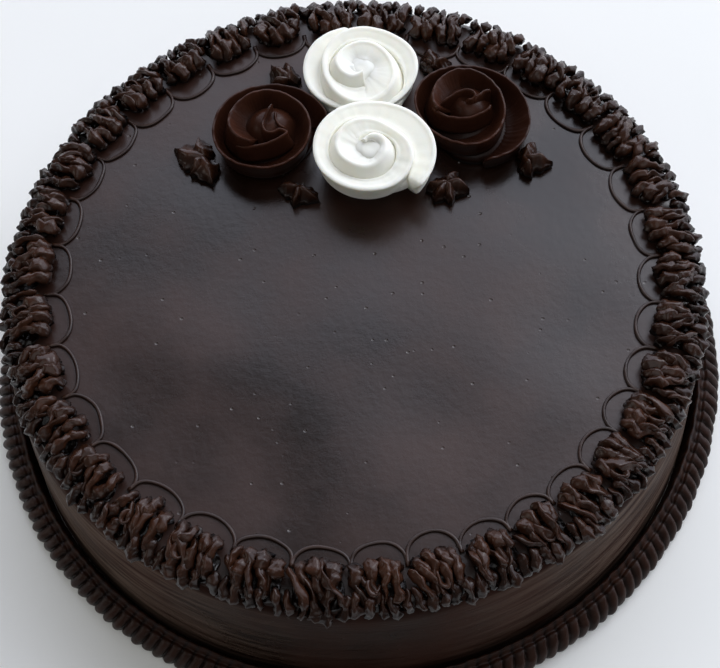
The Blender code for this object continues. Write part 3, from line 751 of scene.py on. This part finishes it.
rib_draw = np.random.default_rng(41)
rib_total = RIB_COUNT * RIB_STEPS
rib_share = np.arange(rib_total) / RIB_STEPS
rib_index = np.round(rib_share).astype(int) % RIB_COUNT
offset = 2.0 * (rib_share - np.round(rib_share))
rib_reach = rib_draw.uniform(-0.35, 0.25, RIB_COUNT)[rib_index] * MM
rib_rise = rib_draw.uniform(-0.5, 0.4, RIB_COUNT)[rib_index] * MM
arch = np.clip(1.0 - np.abs(offset) ** 2.0, 0.0, 1.0) ** 0.5
cut = RIB_DEPTH * (1.0 - arch)
reach = rib_reach * arch
outer, inner, high = BORDER_OUTER_RADIUS, BORDER_INNER_RADIUS, BORDER_HEIGHT
corners = (
    (BORDER_TOE_RADIUS, 0.0),
    (outer - BORDER_FOOT_SETBACK - 0.6 * cut, 0.0),
    (outer - 0.25 * MM - cut + reach, 1.9 * MM),
    (outer - 0.2 * MM - cut + reach, 4.6 * MM),
    (outer - 1.4 * MM - cut + reach, 7.4 * MM),
    (outer - BORDER_BROW_SETBACK - 0.8 * cut, BORDER_BROW_HEIGHT - 0.6 * cut + rib_rise),
    (inner + 4.6 * MM, high - 1.0 * MM - 0.5 * cut + 0.5 * rib_rise),
    (inner + 3.3 * MM, high - 1.7 * MM - 0.35 * cut),
    (inner + 2.3 * MM, high - 0.9 * MM),
    (inner + 1.5 * MM, high + 0.1 * MM),
    (inner + 0.7 * MM, high - 0.8 * MM),
    (inner + 0.1 * MM, 6.0 * MM),
)
section = smooth_loop(section_control(corners, cut), BORDER_COLUMNS)
out, level_z = section[..., 0], np.maximum(section[..., 1], 0.0)
slant = math.radians(RIB_SLANT_DEG) * np.clip((level_z - 3.0 * MM) / (BORDER_HEIGHT - 3.0 * MM), 0.0, 1.0)
bearing = (2.0 * math.pi * rib_share / RIB_COUNT)[:, None] + slant
rough = swell(out * np.cos(bearing), out * np.sin(bearing), level_z, BORDER_LUMP_SIZE, 43, 18)
raised = np.clip((level_z - 1.0 * MM) / (3.0 * MM), 0.0, 1.0)
out = np.minimum(out + BORDER_LUMP * rough * raised, BORDER_OUTER_RADIUS + 0.2 * MM)
out = np.maximum(out, BORDER_TOE_RADIUS)
border = join_grids("ribbed_border", [polar(out, bearing, level_z)], loop_rows=True)
# Painted shade: the gaps between the ribs are coloured darker, the ribs' crowns lighter
paint_shade_by_height(border, 1.0 - (cut[:, None] / (0.6 * RIB_DEPTH) + 0.0 * bearing).ravel())
border_paste = piping_material("border_paste", BORDER_SHADED, BORDER_LIT, 0.40, 0.45, 1.9, BORDER_GLOSS)
border.data.materials.append(border_paste)
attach(border, "root")
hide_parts("foot_border")

# The roses: one long petal ribbon from a flat-slit nozzle wound round a bud. The white cream has sunk
# into soft filled steps; the stiffer dark paste stands in thin walls with deep hollows between.
SHIFT_FROM_TURN = 0.75
SHIFT_TO_TURN = 1.25
# Each rose: name, place, bearing of the ribbon's start, lift on a stem, shift of the inner turns; then
# the lip's radius every eighth of the first turn and every quarter of the others, in millimetres
ROSES = (
    ("rose_white_front", 9.3, 41.4, -48.0, 5.5, -0.2, -2.4),
    ("rose_white_back", 8.1, 80.9, 98.0, 0.0, -0.1, -2.1),
    ("rose_dark_left", -27.2, 55.3, 14.0, 0.0, 0.5, 2.7),
    ("rose_dark_right", 45.4, 57.0, -78.0, 0.0, -0.3, 4.5),
)
OUTER_LIPS = {
    "rose_white_front": (23.1, 23.3, 21.3, 20.4, 20.7, 20.3, 19.7, 18.6, 17.3),
    "rose_white_back": (21.2, 22.0, 21.3, 20.2, 19.5, 20.5, 21.2, 19.1, 18.9),
    "rose_dark_left": (23.3, 22.1, 21.0, 20.1, 19.5, 18.0, 17.1, 16.9, 15.1),
    "rose_dark_right": (19.6, 22.9, 21.7, 21.7, 22.2, 22.3, 16.4, 16.0, 18.1),
}
INNER_LIPS = {
    "rose_white_front": (11.9, 14.2, 10.1, 6.9, 6.2, 3.4),
    "rose_white_back": (13.4, 16.6, 11.7, 11.6, 9.0, 4.4),
    "rose_dark_left": (12.4, 14.6, 10.0, 6.6, 5.6, 3.2),
    "rose_dark_right": (11.9, 13.1, 12.6, 8.7, 7.0, 3.6),
}
RIBBON_TURNS = {
    "rose_white_front": 2.5,
    "rose_white_back": 2.5,
    "rose_dark_left": 1.62,
    "rose_dark_right": 1.78,
}
RIBBON_ROWS = 300
RIBBON_COLUMNS = 36
LIP_LOW = 9.0 * MM
LIP_HIGH = {"white": 12.8 * MM, "dark": 14.0 * MM}
BUD_HEIGHT = {"white": 15.4 * MM, "dark": 16.8 * MM}
LIP_THICKNESS = {"white": 2.2 * MM, "dark": 1.0 * MM}
WALL_LEAN = 2.0 * MM
INNER_WALL_LEAN = {"white": -3.6 * MM, "dark": -1.6 * MM}
RIBBON_FOOT = 11.0 * MM
RIBBON_BOTTOM = 0.9 * MM
RIBBON_CLIMB = 2.6 * MM
RIBBON_END = 0.018
SLOPE_FOOT_HEIGHT = 2.4 * MM
STEM_SHARE = 0.48
LIP_WAVE = 0.35 * MM
RAGGED_SIZE = 4.0 * MM
CORE_STEPS = 120
WHITE_STEP = 1.5 * MM
COMB_DEPTH = {"white": 0.015 * MM, "dark": 0.12 * MM}
RAGGED = {"white": 0.06 * MM, "dark": 0.18 * MM}
# The core's rings: share of the outer lip's radius, height, share of the inner turns' shift
CORE_RINGS = {
    "white": (
        (0.80, 4.0, 0.0), (0.70, 6.0, 0.2), (0.58, 7.6, 0.5), (0.42, 9.2, 1.0), (0.29, 11.4, 1.0),
        (0.20, 13.0, 1.0), (0.12, 13.6, 1.0), (0.05, 13.4, 1.0),
    ),
    "dark": (
        (0.76, 2.4, 0.0), (0.68, 3.4, 0.2), (0.58, 4.2, 0.5), (0.48, 6.0, 1.0), (0.38, 9.0, 1.0),
        (0.26, 11.4, 1.0), (0.14, 13.0, 1.0), (0.05, 12.6, 1.0),
    ),
}
# The inner petals of the dark roses: each lip's points in millimetres from the rose's middle and up
FOLDED_PETALS = {
    "rose_dark_left": (
        (
            (-11.4, -6.4, 12.0), (-7.0, -8.2, 12.6), (0.1, -7.8, 13.5), (5.0, -5.8, 14.0),
            (7.2, -3.8, 14.2), (4.8, -2.4, 14.2), (2.0, -3.4, 14.2), (-0.2, -3.0, 14.4),
            (-1.2, -0.9, 14.8), (-0.6, 1.8, 15.4), (1.0, 4.8, 16.2), (2.6, 7.8, 16.8),
        ),
        ((3.6, 5.8, 14.0), (3.4, 3.0, 13.6), (4.6, 0.4, 13.2), (6.8, -1.0, 12.6)),
    ),
    "rose_dark_right": (
        (
            (-13.2, 2.4, 13.4), (-10.4, -1.0, 13.4), (-6.2, -2.8, 13.2), (0.0, -3.4, 13.2),
            (6.5, -0.4, 13.2), (8.2, 2.6, 12.6),
        ),
        (
            (-10.6, 2.6, 13.6), (-7.3, 4.4, 14.8), (-4.0, 5.8, 15.8), (-0.8, 6.4, 16.6),
            (1.8, 5.6, 16.4), (2.3, 3.9, 16.0), (0.9, 2.7, 15.6), (-0.8, 3.4, 15.4),
        ),
        ((1.6, 2.6, 14.8), (3.8, 4.4, 15.2), (6.0, 6.2, 15.2), (8.6, 7.4, 14.4)),
    ),
}
PETAL_STEPS = 90
PETAL_FOOT = 6.0 * MM
PETAL_SPREAD = 2.0 * MM
# The petal's section from its right foot to its left: share of the spread, share of the depth
PETAL_RIGHT = ((1.0, 1.0), (0.62, 0.62), (0.34, 0.30), (0.26, 0.07))
PETAL_OUTLINE = (*PETAL_RIGHT, (0.0, 0.0), *[(-side, down) for side, down in PETAL_RIGHT[::-1]])


def smooth_table(places, values, wanted):
    """A smooth curve through a table: straight steps between its rows, averaged over a short window."""
    window = np.linspace(-0.06, 0.06, 9)
    return np.mean([np.interp(wanted + shift, places, values) for shift in window], axis=0)


def lip_radius(turns, name):
    """Radius of the ribbon's lip after so many turns; none past its end."""
    places = np.concatenate([np.arange(8) * 0.125, 1.0 + 0.25 * np.arange(7)])
    values = OUTER_LIPS[name] + INNER_LIPS[name]
    return np.where(turns > 2.5, 0.0, smooth_table(places, values, turns)) * MM


def lip_height(turns, kind):
    """Height of the ribbon's lip: the outer petal lies low, the inner rings stand up to the bud."""
    rise = np.minimum(turns / 1.2, 1.0)
    last = BUD_HEIGHT[kind] - LIP_HIGH[kind]
    return LIP_LOW + (LIP_HIGH[kind] - LIP_LOW) * rise + last * np.maximum(0.0, (turns - 1.2) / 1.3)


def ramp(value, start, end):
    """0 before the start, 1 after the end and even in between."""
    return np.clip((value - start) / (end - start), 0.0, 1.0)


def ribbon_section(lip, top, low, lean, thin, foot, slope_foot):
    """The ribbon's closed section at each step, as distance out and height: a steep outer face, a thin
    rounded lip, a hollowed inner slope down to its foot, and a flat underside."""
    rise = top - slope_foot
    inward = foot - thin
    corners = (
        (lip - lean, low),
        (lip - 0.72 * lean, low + 0.35 * (top - low)),
        (lip - 0.30 * lean, low + 0.72 * (top - low)),
        (lip, top - 0.40 * MM),
        (lip - 0.5 * thin, top),
        (lip - thin, top - 0.40 * MM),
        (lip - thin - 0.30 * inward, slope_foot + 0.50 * rise),
        (lip - thin - 0.62 * inward, slope_foot + 0.16 * rise),
        (lip - foot, slope_foot - 0.4 * MM),
        (lip - foot, low),
    )
    return smooth_loop(section_control(corners, lip), RIBBON_COLUMNS)


def combing(section, bearing, lip):
    """The fine lines that the nozzle's rough slit combs into the inner face, as heights of about 1."""
    comb = np.sin(bearing * 61.0 + 3.0 * np.sin(bearing * 5.0)) + 0.6 * np.sin(bearing * 97.0)
    inner_face = np.clip((lip[:, None] - section[..., 0] - 0.8 * MM) / (1.6 * MM), 0.0, 1.0)
    return comb * inner_face


def rose_grids(name, start_deg, lift, shift, seed):
    """The rose's ribbon, core and inner petals. The section is carried along the inward spiral: on a
    white rose its slope fills the room up to the next ring. The core is a squat cup under it that rises
    to the bud, on a stem where the rose is lifted."""
    kind = "white" if "white" in name else "dark"
    turns = np.linspace(0.0, RIBBON_TURNS[name], RIBBON_ROWS)
    angle = math.radians(start_deg) + 2.0 * math.pi * turns
    off = ramp(turns, SHIFT_FROM_TURN, SHIFT_TO_TURN)
    off_next = ramp(turns + 1.0, SHIFT_FROM_TURN, SHIFT_TO_TURN)
    sideways = shift[0] * np.cos(angle) + shift[1] * np.sin(angle)
    lip = lip_radius(turns, name)
    lean_change = INNER_WALL_LEAN[kind] - WALL_LEAN
    lean_next = WALL_LEAN + lean_change * ramp(turns + 1.0, 1.0, 1.4)
    room = lip - lip_radius(turns + 1.0, name) - (off_next - off) * sideways + np.minimum(lean_next, 0.0)
    ragged = swell(lip * np.cos(angle), lip * np.sin(angle), 0.0, RAGGED_SIZE, seed, 14)
    top = lip_height(turns, kind) + LIP_WAVE * np.sin(3.3 * angle) + RAGGED[kind] * ragged
    low = RIBBON_BOTTOM + RIBBON_CLIMB * turns
    lean = np.minimum(WALL_LEAN + lean_change * ramp(turns, 1.0, 1.4), 0.4 * lip)
    thin = np.minimum(LIP_THICKNESS[kind], 0.35 * lip)
    if kind == "white":
        foot = np.minimum(room + 1.2 * MM, 0.85 * lip)
        slope_foot = np.maximum(low + SLOPE_FOOT_HEIGHT, top - WHITE_STEP)
    else:
        foot = np.minimum(np.minimum(RIBBON_FOOT, 0.97 * room), 0.75 * lip)
        slope_foot = low + SLOPE_FOOT_HEIGHT
    section = ribbon_section(lip, top, low, lean, thin, foot, slope_foot)
    whole = 0.25 + 0.75 * np.sqrt(1.0 - (1.0 - ramp(turns, 0.0, RIBBON_END)) ** 2)
    middle = section.mean(axis=1, keepdims=True) - np.array([0.0, 1.0 * MM])
    section = middle + (section - middle) * whole[:, None, None]
    bearing = angle[:, None]
    level_z = section[..., 1] + COMB_DEPTH[kind] * combing(section, bearing, lip) + lift
    x = section[..., 0] * np.cos(bearing) + (off * shift[0])[:, None]
    y = section[..., 0] * np.sin(bearing) + (off * shift[1])[:, None]
    grids = [np.stack([x, y, level_z], axis=-1)]
    core = CORE_RINGS[kind]
    rings = [(core[0][0] if lift == 0.0 else STEM_SHARE, 0.0, 0.0)]
    if lift > 0.0:
        rings.append((STEM_SHARE, lift, 0.0))
    rings += [(share, lift + height * MM, off_share) for share, height, off_share in core]
    round_core = np.linspace(0.0, 1.0, CORE_STEPS, endpoint=False)
    core_angle = math.radians(start_deg) + 2.0 * math.pi * round_core
    blend = np.clip((round_core - 0.85) / 0.15, 0.0, 1.0)
    outer_lip = lip_radius(round_core, name) * (1.0 - blend) + lip_radius(np.array([0.0]), name) * blend
    rows = []
    for share, height, off_share in rings:
        x = share * outer_lip * np.cos(core_angle) + off_share * shift[0]
        y = share * outer_lip * np.sin(core_angle) + off_share * shift[1]
        rows.append(np.stack([x, y, np.full_like(x, height)], axis=-1))
    grids.append(np.stack(rows)[:, ::-1])
    for number, lip_points in enumerate(FOLDED_PETALS.get(name, ())):
        grids.append(folded_petal(lip_points, seed + 20 * number))
    return grids


def folded_petal(lip_points, seed):
    """One inner petal: a wall whose thin rounded lip runs smoothly through its points and whose faces
    spread towards the foot; at both ends it sinks and narrows."""
    path = smooth_path(np.array(lip_points) * MM, PETAL_STEPS)
    ahead = np.gradient(path[:, :2], axis=0)
    ahead /= np.linalg.norm(ahead, axis=1, keepdims=True)
    across = np.stack([-ahead[:, 1], ahead[:, 0]], axis=-1)
    step = np.linspace(0.0, 1.0, PETAL_STEPS)
    whole = np.sqrt(np.clip(np.minimum(step, 1.0 - step) / 0.08, 0.0, 1.0)) * 0.9 + 0.1
    ragged = swell(path[:, 0], path[:, 1], 0.0, RAGGED_SIZE, seed, 14)
    top = path[:, 2] - 1.6 * MM * (1.0 - whole) + 0.15 * MM * ragged
    deep = top - PETAL_FOOT
    corners = [(PETAL_SPREAD * side * whole, top - down * deep) for side, down in PETAL_OUTLINE]
    section = smooth_loop(section_control(corners, top), RIBBON_COLUMNS)
    points = path[:, None, :2] + section[..., :1] * across[:, None, :]
    return np.concatenate([points, section[..., 1:]], axis=-1)[:, ::-1]


DARK_PETAL_SHADED = (0.0090, 0.0026, 0.0013, 1.0)
DARK_PETAL_LIT = (0.0560, 0.0185, 0.0095, 1.0)
WHITE_TINTS = ((0.925, 0.90, 0.77, 1.0), (0.955, 0.94, 0.84, 1.0))
WHITE_GLOW_DEPTH = (5 * MM, 4 * MM, 3 * MM)
dark_petal_paste = piping_material("dark_petal_paste", DARK_PETAL_SHADED, DARK_PETAL_LIT, 0.32, 0.3, 3.1, 0.14)

white_petal_paste, tree, shader = node_material("white_petal_paste")
place = add_node(tree, "TexCoord").outputs["Object"]
cloud = noise(tree, place, scale=60.0, detail=4.0, roughness=0.6)
plug(tree, shader.inputs["Base Color"], blend(tree, cloud, *WHITE_TINTS))
lumps = noise(tree, place, scale=380.0, detail=3.0)
plug(tree, shader.inputs["Normal"], bumped(tree, lumps, 0.25, 0.3 * MM))
shader.inputs["Roughness"].default_value = 0.6
shader.inputs["Subsurface Weight"].default_value = 0.3
shader.inputs["Subsurface Radius"].default_value = WHITE_GLOW_DEPTH
shader.inputs["Subsurface Scale"].default_value = 1.0

for number, (node, x0, y0, start_deg, lift_mm, shift_x, shift_y) in enumerate(ROSES):
    grids = rose_grids(node, start_deg, lift_mm * MM, (shift_x * MM, shift_y * MM), 700 + number)
    seat = np.array([x0 * MM, y0 * MM, CAKE_HEIGHT + GAP])
    flower = join_grids("piped_" + node, [grid + seat for grid in grids])
    # Painted shade: the dark roses are coloured darker low down and lighter higher up; the white cream's
    # material does not use it
    paint_shade_by_height(flower, (vertex_places(flower)[:, 2] - CAKE_HEIGHT - 2.0 * MM) / (12.0 * MM))
    flower.data.materials.append(white_petal_paste if "white" in node else dark_petal_paste)
    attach(flower, "root")
    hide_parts(node)

# The leaf sprays: three to five leaves pressed from a toothed nozzle beside the roses, each a
# grooved tongue that rises from the middle and ends in a pulled-off point.
# Each spray: name, place in millimetres, and its leaves' directions in degrees and lengths
LEAF_SPRAYS = (
    ("leaves_left", -51.0, 49.5, ((158, 12.5), (105, 10.5), (228, 7.5), (283, 10.5))),
    ("leaves_back_left", -19.0, 82.0, ((128, 11.0), (82, 9.5), (172, 7.5))),
    ("leaves_front_left", -17.0, 34.0, ((165, 8.0), (255, 6.5), (318, 8.0))),
    ("leaves_front_right", 35.5, 32.5, ((180, 7.5), (236, 8.0), (290, 7.5), (350, 8.5), (60, 6.5))),
    ("leaves_right", 64.0, 41.0, ((-2, 10.5), (58, 8.5), (-62, 7.0))),
    ("leaves_back_right", 35.5, 84.5, ((97, 10.5), (150, 6.5), (35, 7.0))),
)
LEAF_HEIGHT = 6.4 * MM
LEAF_WIDTH_SHARE = 0.42
LEAF_TOOTH_DEPTH = 0.10
LEAF_TEETH_TURN = 21.0
LEAF_GROOVE = 0.26
LEAF_TWIST = 0.25
LEAF_LUMP = 0.4 * MM
LEAF_LUMP_SIZE = (6.5 * MM, 5.5 * MM)
LEAF_STEPS = 30
LEAF_SIDES = 40


def leaf_grid(direction_deg, length, seed):
    """One leaf: along it, the toothed half width narrows to a point while the back rises and falls;
    across it, a ridge between two grooves on top and a flat underside; soft lumps all over."""
    draw = random.Random(seed)
    along = np.linspace(0.0, 1.0, LEAF_STEPS)[:, None]
    ring = whole_turn(LEAF_SIDES)[None, :]
    teeth = 1.0 + LEAF_TOOTH_DEPTH * np.sin(LEAF_TEETH_TURN * along + draw.uniform(0.0, 6.0))
    narrowing = np.sin(np.pi * np.clip(0.28 + 0.72 * along, 0, 1)) ** 1.1
    half_width = length * LEAF_WIDTH_SHARE * narrowing * teeth + 0.2 * MM
    back = LEAF_HEIGHT * (0.55 + 0.45 * np.sin(np.pi * (0.15 + 0.6 * along))) * (1.0 - 0.55 * along**2.5)
    grooves = 1.0 + LEAF_GROOVE * np.cos(4.0 * ring) * (ring < np.pi)
    across = half_width * np.cos(ring)
    rise = back * np.maximum(np.sin(ring), 0.0) ** 0.8 * grooves / 1.2
    sideways = across + draw.uniform(-LEAF_TWIST, LEAF_TWIST) * length * along**2
    angle = math.radians(direction_deg)
    x = along * length * math.cos(angle) - sideways * math.sin(angle)
    y = along * length * math.sin(angle) + sideways * math.cos(angle)
    lump = LEAF_LUMP * np.clip(rise / (2.0 * MM), 0.0, 1.0)
    x = x + lump * swell(x, y, rise, LEAF_LUMP_SIZE[0], seed, 14)
    y = y + lump * swell(x, y, rise, LEAF_LUMP_SIZE[0], seed + 1, 14)
    rise = rise + lump * swell(x, y, rise, LEAF_LUMP_SIZE[1], seed + 2, 14)
    return np.stack([x, y, rise], axis=-1)


for number, (node, x0, y0, leaves) in enumerate(LEAF_SPRAYS):
    seat = np.array([x0 * MM, y0 * MM, CAKE_HEIGHT + GAP])
    grids = []
    for k, (way, length) in enumerate(leaves):
        grids.append(leaf_grid(way, length * MM, 900 + 10 * number + k) + seat)
    spray = join_grids("piped_" + node, grids)
    # Painted shade: the leaves are coloured darker low down and lighter on their raised backs
    paint_shade_by_height(spray, (vertex_places(spray)[:, 2] - CAKE_HEIGHT - 1.0 * MM) / (5.0 * MM))
    spray.data.materials.append(piping_paste)
    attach(spray, "root")
    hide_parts(node)
